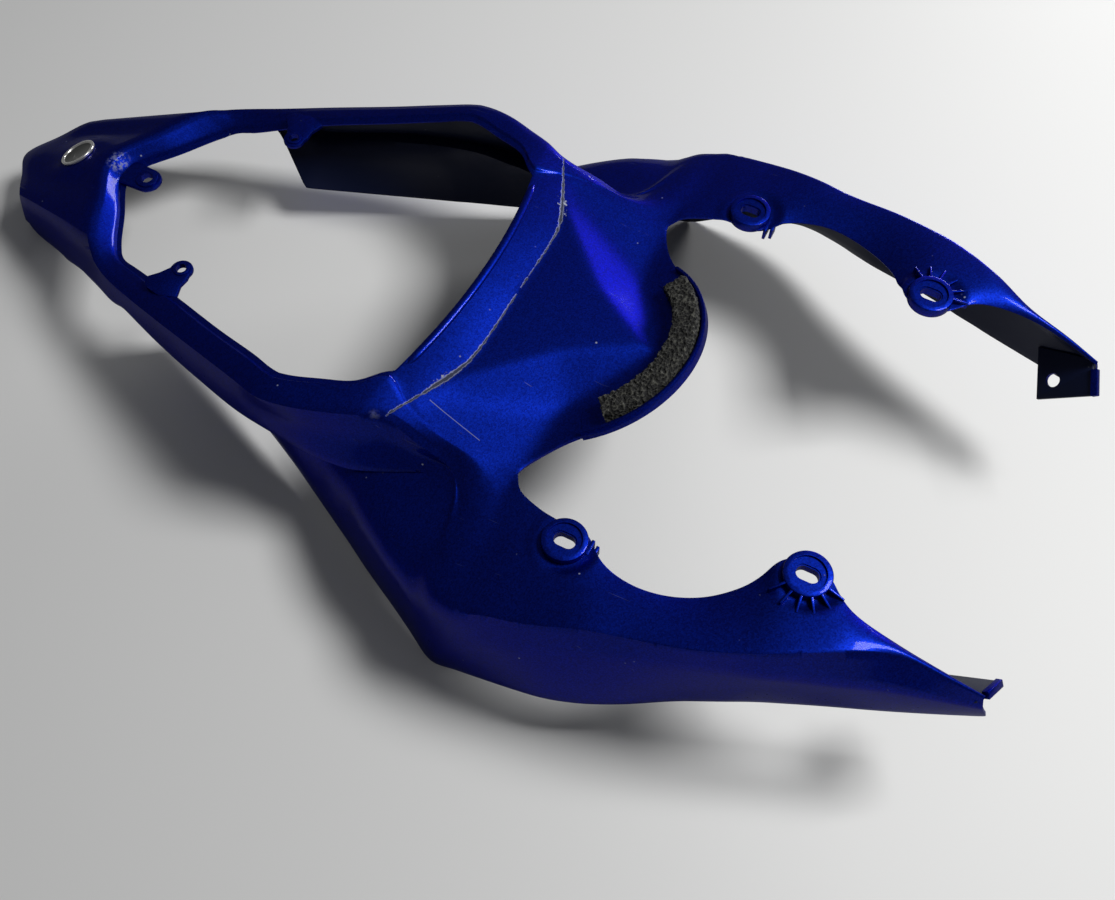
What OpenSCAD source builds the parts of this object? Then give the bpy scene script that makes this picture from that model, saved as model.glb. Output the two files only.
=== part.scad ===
// One-piece moulded tail fairing of a sport motorcycle, lying top side up.
// +X points to the front of the bike, +Y to its left, +Z up, and z = 0 is the surface it rests on.
// The origin is under the middle of the outline.

/* [Moulded shell] */
// Length from the tail apex to the wing tips
shell_l = 720; // [690:5:750]
// Width across the widest corners of the side panels
shell_w = 376; // [360:4:392]
// Height of the wings above the resting surface
shell_h = 121; // [114:1:128]
// Thickness of the moulded wall
wall = 3; // [2.4:0.2:3.4]
// Radius that rounds the ridge around the pillion seat opening
ridge_r = 4; // [2.5:0.5:6]
// Width of the flat ledge inside the rim of the pillion seat opening
ledge_w = 5; // [4:0.5:7]

/* [Slotted bosses] */
// Distance between the two rear slots, left to right
rear_slot_gap = 250; // [244:2:256]
// Distance between the two front slots, left to right
front_slot_gap = 192; // [188:2:198]
// Length of a slot, end to end
slot_l = 12; // [10:0.5:14]
// Width of a slot
slot_w = 7.5; // [6:0.5:8.5]
// Outer diameter of the round boss that carries a slot
boss_d = 25; // [23:1:28]
// Depth of the shallow dish in the top of a boss
dish_h = 1.2; // [0.8:0.2:1.6]
// Number of stiffening ribs that fan out from a front boss
rib_count = 6; // [4:1:8]
// Length of a stiffening rib
rib_l = 9; // [6:1:11]
// Thickness of a stiffening rib
rib_t = 1.6; // [1.2:0.2:2.2]

/* [Fixing tabs] */
// Hole in the middle tab at the back of the seat opening
middle_hole_d = 8; // [6:0.5:9]
// Hole in each side tab of the seat opening
side_hole_d = 6.5; // [5:0.5:7.5]
// Distance between the holes of the two side tabs
side_hole_gap = 123; // [119:1:127]
// Hole in the flange at each wing tip
tip_hole_d = 8; // [6:0.5:9]

/* [Foam strip] */
// Width of the foam strip
foam_w = 15; // [12:1:17]
// Thickness of the foam strip
foam_t = 8; // [5:1:10]
// Half of the angle that the foam strip covers
foam_half_angle = 52; // [44:1:58]

/* [Badge] */
// Diameter of the round stick-on badge
badge_d = 25; // [20:1:28]
// Thickness of the badge
badge_t = 1.8; // [1.4:0.2:2.6]
// Width of the badge's raised rim
badge_rim = 2; // [1.4:0.2:2.6]

/* [Hidden] */
$fn = 40;

paint = "mediumblue";
foam_black = "dimgray";
badge_silver = "silver";

// Rows of facets between two neighbouring sections of the loft
steps = 2;
// Facets across the saddle between the two interface lines
saddle_cols = 18;

// Design outline on which the sections below are drawn
draw_l = 720;
draw_w = 376;
draw_h = 121;
function fit(p) = [p.x * shell_l / draw_l, p.y * shell_w / draw_w, p.z * shell_h / draw_h];

// Centres of the slots, on the left side
rear_boss = [fit([135, 0, 0]).x, rear_slot_gap / 2, fit([0, 0, 100.5]).z];
front_boss = [fit([253, 0, 0]).x, front_slot_gap / 2, fit([0, 0, 121]).z];
boss_r = boss_d / 2;

// Arc of the saddle's front lip, in a plane that climbs to the front. The foam strip and the
// rider's seat lie on it. lip_low is the centre of the arc on the drawing.
lip_low = [85, 0, 86];
lip_rise = 0.404;
lip_tilt = atan(lip_rise * (shell_h / draw_h) / (shell_l / draw_l));
lip_r = 72;
lip_t = 2.4;
lip_h = 3;
lip_half_angle = 64;
seat_t = 4;
foam_gap = 0.8;

// Highest point of the wedge behind the foam strip, and the corners where its sides meet the ridge
wedge_tip = [121, 0];
wedge_side = [80, 25];
wedge_corner = [36, 70];
fin_root = [14, 107];
wedge_fall = 0.45;

function unit(v) = v / norm(v);
function mix(a, b, t) = a + (b - a) * t;
function flat(lists) = [for (l = lists) each l];

// Signed distance of a plan point in front of the line a-b
function ahead(p, a, b) =
    let (d = unit(b - a))
    (p - a) * [d.y, -d.x];

// Height of the saddle over a plan point of the drawing: a wedge that runs from the ridge to its
// tip and falls away at its sides, on a shelf that climbs to the front lip
function saddle_z(x, y) =
    let (p = [x, abs(y)],
         crown = 108 - 0.0375 * (x - 41) - 0.04 * abs(y),
         side = min(ahead(p, wedge_tip, wedge_side),
                    ahead(p, wedge_side, wedge_corner),
                    ahead(p, wedge_corner, fin_root)),
         shelf = max(lip_low.z - 0.9 + lip_rise * (x - lip_low.x), 90.5 + 0.2 * (92 - x)))
    max(shelf, crown - wedge_fall * max(0, side));
function on_saddle(x, y) = [x, y, saddle_z(x, y)];

// Sections of the left half, drawn from the tail apex forward.
// Each has: edge of the opening, ridge, lower edge of the outer wall (or of the side fin),
// turned-in root, shoulder and foot of the side panel, the height of the little wall at the
// edge of the opening, and the bulge of the outer wall.
tail_sections = [
    [[-255, 0, 60], [-268, 0, 72], [-360, 0, 32], [-357, 0, 4], [-350, 0, 0], [-341, 0, 0], 6.5, 0],
    [[-236, 30, 60.5], [-252, 30, 72.5], [-343, 20, 38], [-346, 20, 4], [-338, 19, 0], [-329, 18, 0], 6.5, 0],
    [[-216, 58, 62], [-235, 61, 73.5], [-326, 39, 44], [-342, 36, 6], [-334, 33, 0.5], [-325, 31, 1], 6, 0],
    [[-212, 61, 63], [-229, 67.5, 73], [-333, 40, 8], [-327, 36.5, 3], [-321, 33, 2], [-314, 31, 3], 5.5, 0],
    [[-209, 62.5, 63.7], [-225, 71.5, 71.5], [-297, 51, 14], [-298, 50, 11], [-298.5, 49, 9.5], [-299, 48, 9], 5, 0],
    [[-206, 63.5, 64.4], [-220, 75.5, 71], [-262, 63.5, 29], [-262, 63.2, 28], [-262, 62.9, 27], [-262, 62.6, 26], 4.5, 0],
    [[-200, 65, 66], [-210, 80.5, 71.5], [-222, 80, 53.5], [-224, 79.5, 51], [-225, 79, 48.5], [-226, 78.5, 46], 4, 0],
    [[-180, 71, 72.5], [-188, 88, 75], [-194, 90, 59], [-196, 89.6, 56.5], [-197, 89, 54], [-198, 88, 51.5], 3, 0.3],
    [[-150, 80, 82], [-157, 97.5, 81.8], [-163, 99.5, 54], [-163, 94, 52], [-163, 82, 43], [-164, 64.5, 30], 2.2, 0.6],
    [[-105, 93.5, 92], [-110, 110.5, 92], [-112, 115.5, 61.5], [-110, 108, 60], [-107, 103, 47], [-106, 93.5, 23.5], 1.8, 1],
    [[-72, 102.5, 100.5], [-76, 120.3, 100], [-80, 123.5, 63.5], [-76, 116, 64], [-72, 114, 50], [-70, 111.5, 19.5], 1.8, 1.5],
    [[-51, 108.5, 105], [-54, 126.5, 104.5], [-53, 127.5, 66.5], [-51, 119, 67], [-49, 122, 52], [-48, 122.5, 16.8], 1.8, 1.5],
    [[-27, 102, 107], [-32, 124, 107], [-28, 130, 67], [-26, 118, 69], [-24, 127, 56], [-24, 134.5, 14], 1.8, 1.5],
    [[-8, 95.5, 109], [-12, 117.5, 107.6], [-12, 130, 68], [-12, 117, 71], [-12, 130.5, 58], [-12, 140.5, 12.5], 1.6, 1.5]
];
fin_sections = [
    [[8, 81, 110.5], [3, 112, 108.3], [3, 129, 70.5], [2, 117, 73], [2, 135, 62], [2, 147.5, 11], 1.5, 1.5],
    [on_saddle(25, 91), [fin_root.x, fin_root.y, 107], [20, 124.5, 75], [18, 116, 76], [18, 143, 67], [20, 157, 9], 0.5, 1.5],
    [on_saddle(45, 96), [38, 108.5, 98.5], [41, 117, 80.5], [40, 117, 79.5], [38, 154, 71], [42, 167.5, 6.4], 0.3, 1],
    [on_saddle(66, 98), [59, 110, 89.6], [61, 111.5, 87.5], [62, 116, 86], [60, 164, 74], [62, 177.5, 4], 0.2, 0.3]
];
body_sections = concat(tail_sections, fin_sections);

// Sections of the wing, drawn forward from the lobe of the rider's seat cut-out.
// Each has: inner edge, shoulder, crease below the shoulder and foot. The edge bulges in
// round the two bosses.
rear_bulge = draw_w / shell_w * (rear_boss.y - boss_r + 1);
front_bulge = draw_w / shell_w * (front_boss.y - boss_r + 2);
wing_sections = [
    [on_saddle(92, 97), [80, 176.5, 73], [80, 184, 30], [79, 186, 0]],
    [[98, 106, 92.5], [97, 179.5, 81], [95, 185.5, 48], [97, 187.5, 11]],
    [[110, 111.5, 94], [113, 177, 87.5], [112, 184, 60], [114, 188, 20]],
    [[125, rear_bulge + 1.5, 96], [130, 174.5, 92], [132, 181.5, 70], [134, 187.5, 28]],
    [[143, rear_bulge + 1.5, 97.5], [148, 170.5, 97.5], [150, 176.5, 79], [154, 186.5, 36.5]],
    [[157, 127, 98], [165, 165.5, 102], [168, 171.5, 86], [172, 182, 41]],
    [[181, 132.7, 101], [186, 160.5, 104], [188, 166, 90], [193, 173.5, 45.5]],
    [[210, 124.5, 103.5], [217, 154, 110], [219, 157.5, 96], [218, 161, 52]],
    [[229, 109.5, 109], [238, 147, 114.5], [240, 151, 99.5], [240, 152, 57.5]],
    [[242, front_bulge + 4.5, 114], [252, 141.5, 117.5], [254, 147.5, 101.5], [254, 146, 60.5]],
    [[258, front_bulge + 2, 115.5], [265, 135, 119.5], [268, 142, 102], [268, 140.5, 62.5]],
    [[277, 103, 117.5], [284, 125, 120.5], [287, 135, 102], [288, 133, 65.5]],
    [[303, 108.3, 115.5], [304, 115, 117], [307, 126.5, 101], [313, 124, 69]],
    [[330, 108.5, 108.5], [330, 112.3, 108.5], [333, 118, 98], [338, 114.5, 73]],
    [[351, 107, 100.5], [351, 109.5, 100.5], [353, 111.5, 95], [360, 105.5, 76]]
];
wing_crown = 1.5;

// Points across one body section: ledge, rounded ridge, wall and side panel
function body_row(s) =
    let (edge = s[0], ridge = s[1], hem = s[2], root = s[3], shoulder = s[4], foot = s[5],
         inward = unit(edge - ridge),
         step = edge + [0, 0, s[6]] - inward * min(ledge_w, 0.45 * norm(edge - ridge)))
    [edge,
     step,
     mix(step, ridge, 0.6),
     ridge + inward * min(ridge_r, 0.3 * norm(edge - ridge)) - [0, 0, 0.15],
     ridge + unit(hem - ridge) * ridge_r * 0.5 - [0, 0, 0.15],
     mix(ridge, hem, 0.5) + [0, s[7], s[7] / 2],
     hem,
     root,
     shoulder,
     mix(shoulder, foot, 0.35) + [0, s[7], 0],
     mix(shoulder, foot, 0.7) + [0, s[7], 0],
     foot];

// Points across one wing section: a crowned top, a crease and an outer wall
wing_top_cols = 8;
function wing_row(s) =
    let (edge = s[0], crest = s[1], crease = s[2], foot = s[3])
    concat(
        [for (c = [0:wing_top_cols])
            let (t = c / wing_top_cols)
            mix(edge, crest, t) + [0, 0, wing_crown * 4 * t * (1 - t)]],
        [crease, mix(crease, foot, 0.5) + [0, 1, 0], foot]);

key_rows = concat([for (s = body_sections) body_row(s)], [for (s = wing_sections) wing_row(s)]);
key_count = len(key_rows);
row_count = (key_count - 1) * steps;
col_count = len(key_rows[0]) - 1;

// Smooth curve through the points of one column, with tangents weighted by spacing
function tangent(a, b, c) =
    let (u = max(0.01, norm(b - a)), v = max(0.01, norm(c - b)))
    ((b - a) / u * v + (c - b) / v * u) / (u + v);
function curve(a, b, c, d, t) =
    let (len_bc = norm(c - b), m = tangent(a, b, c) * len_bc, n = tangent(b, c, d) * len_bc,
         t2 = t * t, t3 = t2 * t)
    b * (2 * t3 - 3 * t2 + 1) + m * (t3 - 2 * t2 + t) + c * (3 * t2 - 2 * t3) + n * (t3 - t2);
function key(k, c) =
    k < 0 ? let (p = key_rows[-k][c]) [p.x, -p.y, p.z]
    : k >= key_count ? 2 * key_rows[key_count - 1][c] - key_rows[key_count - 2][c]
    : key_rows[k][c];
function on_ground(p) = [p.x, p.y, max(0, p.z)];
function skin(r, c) =
    let (k = min(floor(r / steps), key_count - 2), t = r / steps - k)
    on_ground(t == 0 ? key(k, c) : curve(key(k - 1, c), key(k, c), key(k + 1, c), key(k + 2, c), t));
half = [for (r = [0:row_count]) [for (c = [0:col_count]) skin(r, c)]];

// Rows that the saddle shares with both halves, from the opening's front edge to the lip
saddle_first = len(tail_sections) * steps;
saddle_ridge = saddle_first + steps;
saddle_last = len(body_sections) * steps;

// Plan curves across the saddle, for v from -1 to 1
function opening_front(v) = [18.5 - 10.5 * v * v, 81 * v];
function ridge_front(v) = [42 - 0.5 * max(0, abs(91 * v) - 55), 91 * v];
lip_turn = 0.72;
function lip_plan(a) =
    [lip_low.x + draw_l / shell_l * (lip_r - 1.2) * cos(a) * cos(lip_tilt),
     draw_w / shell_w * (lip_r - 1.2) * sin(a)];
function lip_front(v) =
    let (a = abs(v), s = v < 0 ? -1 : 1, w = (a - lip_turn) / (1 - lip_turn),
         p = a <= lip_turn
             ? lip_plan(lip_half_angle * a / lip_turn)
             : lip_plan(lip_half_angle) * pow(1 - w, 2) + [99, 77] * 2 * w * (1 - w) + [92, 97] * w * w)
    [p.x, s * p.y];
function saddle_point(r, m) =
    let (v = 2 * m / saddle_cols - 1,
         end = half[r][0],
         to_ridge = (r - saddle_first) / (saddle_ridge - saddle_first),
         to_lip = (r - saddle_ridge) / (saddle_last - saddle_ridge),
         plan = r <= saddle_ridge
             ? mix(opening_front(v), ridge_front(v), to_ridge)
             : mix(ridge_front(v), lip_front(v), to_lip),
         plan_end = r <= saddle_ridge
             ? mix(opening_front(1), ridge_front(1), to_ridge)
             : mix(ridge_front(1), lip_front(1), to_lip),
         shift = [end.x - plan_end.x, (end.y - plan_end.y) * (v < 0 ? -1 : 1)] * v * v,
         x = plan.x + shift.x,
         y = plan.y + shift.y,
         rim_z = 115 - 4.5 * v * v)
    [x, y, r >= saddle_ridge ? saddle_z(x, y) : mix(rim_z, saddle_z(x, y), to_ridge)];

// One sheet of points: right half, left half without the shared tail line, then the saddle
saddle_rows = saddle_last - saddle_first;
saddle = [for (r = [0:saddle_rows]) [for (m = [1:saddle_cols - 1]) saddle_point(saddle_first + r, m)]];
function mirrored(p) = [p.x, -p.y, p.z];
outer_skin = concat(
    flat(half),
    flat([for (r = [1:row_count]) [for (p = half[r]) mirrored(p)]]),
    flat(saddle));

left_start = (row_count + 1) * (col_count + 1);
saddle_start = left_start + row_count * (col_count + 1);
function li(r, c) = r * (col_count + 1) + c;
function ri(r, c) = r == 0 ? li(0, c) : left_start + (r - 1) * (col_count + 1) + c;
function mi(r, m) =
    m == 0 ? ri(saddle_first + r, 0)
    : m == saddle_cols ? li(saddle_first + r, 0)
    : saddle_start + r * (saddle_cols - 1) + m - 1;

// Direction in which each point of the skin is set back by the wall
function cross_dir(a, b) = let (n = cross(a, b)) n / max(0.0001, norm(n));
function half_point(r, c) =
    r < 0 ? mirrored(half[-r][c])
    : c < 0 ? (r >= saddle_first && r <= saddle_last
        ? saddle_point(r, saddle_cols - 1)
        : half[r][0] * 2 - half[r][1])
    : half[min(r, row_count)][min(c, col_count)];
function half_normal(r, c) =
    cross_dir(half_point(r + 1, c) - half_point(r - 1, c), half_point(r, c + 1) - half_point(r, c - 1));
half_normals = [for (r = [0:row_count]) [for (c = [0:col_count]) half_normal(r, c)]];
function saddle_at(r, m) =
    saddle_point(max(saddle_first, min(saddle_last, r)), max(0, min(saddle_cols, m)));
function saddle_normal(r, m) =
    cross_dir(saddle_at(r + 1, m) - saddle_at(r - 1, m), saddle_at(r, m + 1) - saddle_at(r, m - 1));
skin_normals = concat(
    flat(half_normals),
    flat([for (r = [1:row_count]) [for (n = half_normals[r]) mirrored(n)]]),
    flat([for (r = [0:saddle_rows]) [for (m = [1:saddle_cols - 1]) saddle_normal(saddle_first + r, m)]]));

skin_count = len(outer_skin);
outer_points = [for (p = outer_skin) fit(p)];
inner_points = [for (i = [0:skin_count - 1]) outer_points[i] - skin_normals[i] * wall];

// Quads of the sheet, each split into two triangles
function quad(a, b, c, d) = [[a, b, c], [a, c, d]];
skin_faces = flat(concat(
    [for (r = [0:row_count - 1]) for (c = [0:col_count - 1])
        quad(li(r, c), li(r, c + 1), li(r + 1, c + 1), li(r + 1, c))],
    [for (r = [0:row_count - 1]) for (c = [0:col_count - 1])
        quad(ri(r, c), ri(r + 1, c), ri(r + 1, c + 1), ri(r, c + 1))],
    [for (r = [0:saddle_rows - 1]) for (m = [0:saddle_cols - 1])
        quad(mi(r, m), mi(r, m + 1), mi(r + 1, m + 1), mi(r + 1, m))]));

// Closed loops of the sheet's free edges
opening_loop = concat(
    [for (r = [0:saddle_first]) li(r, 0)],
    [for (m = [saddle_cols - 1:-1:1]) mi(0, m)],
    [for (r = [saddle_first:-1:1]) ri(r, 0)]);
outline_loop = concat(
    [for (r = [0:row_count]) li(r, col_count)],
    [for (c = [col_count - 1:-1:0]) li(row_count, c)],
    [for (r = [row_count - 1:-1:saddle_last]) li(r, 0)],
    [for (m = [saddle_cols - 1:-1:1]) mi(saddle_rows, m)],
    [for (r = [saddle_last:row_count]) ri(r, 0)],
    [for (c = [1:col_count]) ri(row_count, c)],
    [for (r = [row_count - 1:-1:1]) ri(r, col_count)]);
function rim_faces(loop, turn) =
    flat([for (i = [0:len(loop) - 1])
        let (a = loop[i], b = loop[(i + 1) % len(loop)])
        turn ? quad(a, b, b + skin_count, a + skin_count)
             : quad(b, a, a + skin_count, b + skin_count)]);

// Moulded skin of even thickness
module skin_sheet() {
    polyhedron(
        points = concat(outer_points, inner_points),
        faces = concat(
            skin_faces,
            [for (f = skin_faces) [f[2] + skin_count, f[1] + skin_count, f[0] + skin_count]],
            rim_faces(opening_loop, true),
            rim_faces(outline_loop, false)),
        convexity = 10);
}

module both_sides() {
    children();
    mirror([0, 1, 0]) children();
}

// Ring of material round a slot, standing down through the wing's skin
module slot_boss(centre, drop) {
    translate(centre - [0, 0, drop]) cylinder(r = boss_r, h = drop);
}

module slot_cut(centre, drop) {
    run = slot_l - slot_w;
    translate(centre - [0, 0, drop + 1]) {
        for (side = [-1, 1])
            translate([side * run / 2, 0, 0]) cylinder(d = slot_w, h = drop + 2);
        translate([-run / 2, -slot_w / 2, 0]) cube([run, slot_w, drop + 2]);
    }
    translate(centre - [0, 0, dish_h]) cylinder(r = boss_r - 2.5, h = dish_h + 1);
}

boss_drop = 7.5;
rib_h = 3;
rib_first = 12;
rib_spread = 120;

// Ribs that fan out from a front boss over the top of the wing
module boss_ribs() {
    translate(front_boss - [0, 0, rib_h + 1.2])
        for (i = [0:rib_count - 1])
            rotate([0, 0, rib_first + rib_spread * i / (rib_count - 1)])
                translate([boss_r - 1, -rib_t / 2, 0]) cube([rib_l + 1, rib_t, rib_h]);
}

tab_t = 3;
middle_tab = fit([-240, 0, 63]);
middle_tab_r = 9;
side_tab = [fit([-160, 0, 0]).x, side_hole_gap / 2, fit([0, 0, 82]).z];
side_tab_r = 7;
side_tab_root = fit([-168, 79, 82]);

// Tab with a raised ring round its hole, at the back of the seat opening
module middle_tab_body() {
    root = fit([-259, 0, 0]).x;
    translate([0, 0, middle_tab.z - tab_t]) {
        translate([middle_tab.x, 0, 0]) cylinder(r = middle_tab_r, h = tab_t);
        translate([root, -middle_tab_r, 0]) cube([middle_tab.x - root, 2 * middle_tab_r, tab_t]);
        translate([middle_tab.x, 0, 0]) cylinder(d = middle_hole_d + 6, h = tab_t + 1.2);
    }
}

// Straight-sided tab that reaches into the seat opening from its side ledge
module side_tab_body() {
    reach = [side_tab.x, side_tab.y] - [side_tab_root.x, side_tab_root.y];
    translate([side_tab_root.x, side_tab_root.y, side_tab.z - tab_t])
        rotate([0, 0, atan2(reach.y, reach.x)]) {
            translate([0, -side_tab_r, 0]) cube([norm(reach), 2 * side_tab_r, tab_t]);
            translate([norm(reach), 0, 0]) cylinder(r = side_tab_r, h = tab_t);
        }
}

// Inner rear corner of the flange that closes a wing tip, the two turns that set its plane, and its
// outline and hole in that plane
tip_root = fit([332.6, 92.8, 72]);
tip_tilt = 40.8;
tip_lean = 33.5;
tip_hole = [8, 10.5];
tip_flange = [[-1.5,0],[31.5,0],[30,21],[-1,31]];

module tip_place() {
    translate(tip_root) rotate([tip_lean, -tip_tilt, 0]) children();
}

// Flange turned in and up under the tip of a wing
module tip_flange_body() {
    tip_place() translate([0, 0, -tab_t]) linear_extrude(height = tab_t) polygon(tip_flange);
}

module lip_place() {
    translate(fit(lip_low)) rotate([0, -lip_tilt, 0]) children();
}

// Seat of the foam strip with the thin lip in front of it
module foam_seat() {
    lip_place()
        rotate([0, 0, -lip_half_angle])
            rotate_extrude(angle = 2 * lip_half_angle, $fn = 72)
                polygon([
                    [lip_r - lip_t - foam_w - 3, -seat_t],
                    [lip_r, -seat_t],
                    [lip_r, lip_h],
                    [lip_r - lip_t, lip_h],
                    [lip_r - lip_t, 0],
                    [lip_r - lip_t - foam_w - 3, 0]]);
}

badge_at = fit([-299, 0, 58.85]);
badge_rise = 0.435;
badge_tilt = atan(badge_rise * (shell_h / draw_h) / (shell_l / draw_l));
badge_seat_h = 5;

module badge_place() {
    translate(badge_at) rotate([0, -badge_tilt, 0]) children();
}

module tail_shell() {
    color(paint) difference() {
        union() {
            skin_sheet();
            both_sides() {
                slot_boss(rear_boss, boss_drop);
                slot_boss(front_boss, boss_drop);
                boss_ribs();
                side_tab_body();
                tip_flange_body();
            }
            middle_tab_body();
            foam_seat();
            badge_place() translate([0, 0, -badge_seat_h])
                cylinder(d = badge_d + 1.5, h = badge_seat_h);
        }
        both_sides() {
            slot_cut(rear_boss, boss_drop);
            slot_cut(front_boss, boss_drop);
            translate([side_tab.x, side_tab.y, side_tab.z - tab_t - 1])
                cylinder(d = side_hole_d, h = tab_t + 2);
            tip_place() translate([tip_hole.x, tip_hole.y, -tab_t - 1])
                cylinder(d = tip_hole_d, h = tab_t + 2);
        }
        translate([middle_tab.x, 0, middle_tab.z - tab_t - 1])
            cylinder(d = middle_hole_d, h = tab_t + 3.2);
    }
}

module foam_strip() {
    color(foam_black)
        lip_place()
            rotate([0, 0, -foam_half_angle])
                rotate_extrude(angle = 2 * foam_half_angle, $fn = 72)
                    translate([lip_r - lip_t - foam_gap - foam_w, 0])
                        square([foam_w, foam_t]);
}

module badge() {
    color(badge_silver)
        badge_place() difference() {
            cylinder(d = badge_d, h = badge_t);
            translate([0, 0, badge_t / 2]) cylinder(d = badge_d - 2 * badge_rim, h = badge_t);
        }
}

tail_shell();
foam_strip();
badge();
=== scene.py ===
import math
from collections import Counter

import bpy
from mathutils import Matrix, Vector


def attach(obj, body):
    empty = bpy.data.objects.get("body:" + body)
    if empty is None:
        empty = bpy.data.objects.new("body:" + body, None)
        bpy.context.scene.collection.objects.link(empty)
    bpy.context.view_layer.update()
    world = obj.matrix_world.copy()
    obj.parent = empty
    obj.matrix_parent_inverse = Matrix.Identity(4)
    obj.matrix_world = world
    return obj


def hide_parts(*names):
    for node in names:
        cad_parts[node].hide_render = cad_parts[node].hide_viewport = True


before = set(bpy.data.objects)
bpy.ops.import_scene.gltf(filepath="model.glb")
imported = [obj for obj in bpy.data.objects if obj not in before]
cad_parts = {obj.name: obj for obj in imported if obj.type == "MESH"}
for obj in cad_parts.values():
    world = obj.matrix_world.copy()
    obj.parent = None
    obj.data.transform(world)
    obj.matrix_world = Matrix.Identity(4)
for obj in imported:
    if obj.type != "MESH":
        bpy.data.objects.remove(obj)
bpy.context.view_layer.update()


# Skin of the shell: one injection moulding in 3 mm plastic that runs from the pointed tail over
# the seat opening's ridge, the undercut side fins and the saddle into both wings. It is drawn
# as sections across its left half, in millimetres, from the tail apex forward.
MM = 0.001
WALL = 3.0
RIDGE_ROUND = 4.0
LEDGE = 5.0
STEPS = 3
# edge of the opening, ridge, hem of the wall,
# root, shoulder, foot, height of the ledge's wall, bulge of the outer wall
TAIL_SECTIONS = [
    [(-255, 0, 60), (-268, 0, 72), (-360, 0, 32),
     (-357, 0, 4), (-350, 0, 0), (-341, 0, 0), 3.2, 0],
    [(-236, 30, 60.5), (-252, 30, 72.5), (-343, 20, 38),
     (-346, 20, 4), (-338, 19, 0), (-329, 18, 0), 3.2, 0],
    [(-216, 58, 62), (-235, 61, 73.5), (-326, 39, 44),
     (-342, 36, 6), (-334, 33, 0.5), (-325, 31, 1), 3, 0],
    [(-212, 61, 63), (-229, 67.5, 73), (-333, 40, 8),
     (-327, 36.5, 3), (-321, 33, 2), (-314, 31, 3), 2.8, 0],
    [(-209, 62.5, 63.7), (-225, 71.5, 71.5), (-297, 51, 14),
     (-298, 50, 11), (-298.5, 49, 9.5), (-299, 48, 9), 2.6, 0],
    [(-206, 63.5, 64.4), (-220, 75.5, 71), (-262, 63.5, 29),
     (-262, 63.2, 28), (-262, 62.9, 27), (-262, 62.6, 26), 2.4, 0],
    [(-200, 65, 66), (-210, 80.5, 71.5), (-222, 80, 53.5),
     (-224, 79.5, 51), (-225, 79, 48.5), (-226, 78.5, 46), 2.2, 0],
    [(-180, 71, 72.5), (-188, 88, 75), (-194, 90, 59),
     (-196, 89.6, 56.5), (-197, 89, 54), (-198, 88, 51.5), 2, 0.3],
    [(-150, 80, 82), (-157, 97.5, 81.8), (-163, 99.5, 54),
     (-163, 94, 52), (-163, 82, 43), (-164, 64.5, 30), 1.8, 0.6],
    [(-105, 93.5, 92), (-110, 110.5, 92), (-112, 115.5, 61.5),
     (-110, 108, 60), (-107, 103, 47), (-106, 93.5, 23.5), 1.8, 1],
    [(-72, 102.5, 100.5), (-76, 120.3, 100), (-80, 123.5, 63.5),
     (-76, 116, 64), (-72, 114, 50), (-70, 111.5, 19.5), 1.8, 1.5],
    [(-51, 108.5, 105), (-54, 126.5, 104.5), (-53, 127.5, 66.5),
     (-51, 119, 67), (-49, 122, 52), (-48, 122.5, 16.8), 1.8, 1.5],
    [(-27, 102, 107), (-32, 124, 107), (-28, 130, 67),
     (-26, 118, 69), (-24, 127, 56), (-24, 134.5, 14), 1.8, 1.5],
    [(-8, 95.5, 109), (-12, 117.5, 107.6), (-12, 130, 68),
     (-12, 117, 71), (-12, 132, 59), (-12, 140.5, 12.5), 1.6, 1.5],
]
LIP_CENTRE = (85, 0, 86)
LIP_TILT = math.radians(22)
LIP_R = 72.0
LIP_HALF = math.radians(64)
WEDGE_TIP = (121, 0)
WEDGE_SIDE = (80, 25)
WEDGE_CORNER = (36, 70)
FIN_ROOT = (14, 107)
# the wedge's crown: its height on the ridge, where the ridge is, and how it falls forward and aside
CROWN_Z, RIDGE_X = 108, 41
CROWN_FALL, SIDE_FALL, FACET_FALL = 0.0375, 0.04, 0.45
SHELF_BLEND = 3.0


def ahead_of(x, y, a, b):
    dx, dy = b[0] - a[0], b[1] - a[1]
    reach = math.hypot(dx, dy)
    return ((x - a[0]) * dy - (y - a[1]) * dx) / reach


def soft_max(a, b, blend):
    return 0.5 * (a + b + math.sqrt((a - b) ** 2 + blend * blend))


def saddle_height(x, y):
    """Height of the saddle: a folded wedge that points forward on a shelf climbing to the lip."""
    side_y = abs(y)
    crown = CROWN_Z - CROWN_FALL * (x - RIDGE_X) - SIDE_FALL * math.sqrt(side_y * side_y + 1.5)
    fall = -soft_max(
        -ahead_of(x, side_y, WEDGE_TIP, WEDGE_SIDE),
        soft_max(
            -ahead_of(x, side_y, WEDGE_SIDE, WEDGE_CORNER),
            -ahead_of(x, side_y, WEDGE_CORNER, FIN_ROOT),
            1.5,
        ),
        1.5,
    )
    climb = LIP_CENTRE[2] - 0.9 + math.tan(LIP_TILT) * (x - LIP_CENTRE[0])
    shelf = soft_max(climb, 90.5 + 0.2 * (92 - x), SHELF_BLEND)
    return soft_max(shelf, crown - FACET_FALL * soft_max(0.0, fall, 1.6), SHELF_BLEND)


def on_saddle(x, y):
    return (x, y, saddle_height(x, y))


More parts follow.
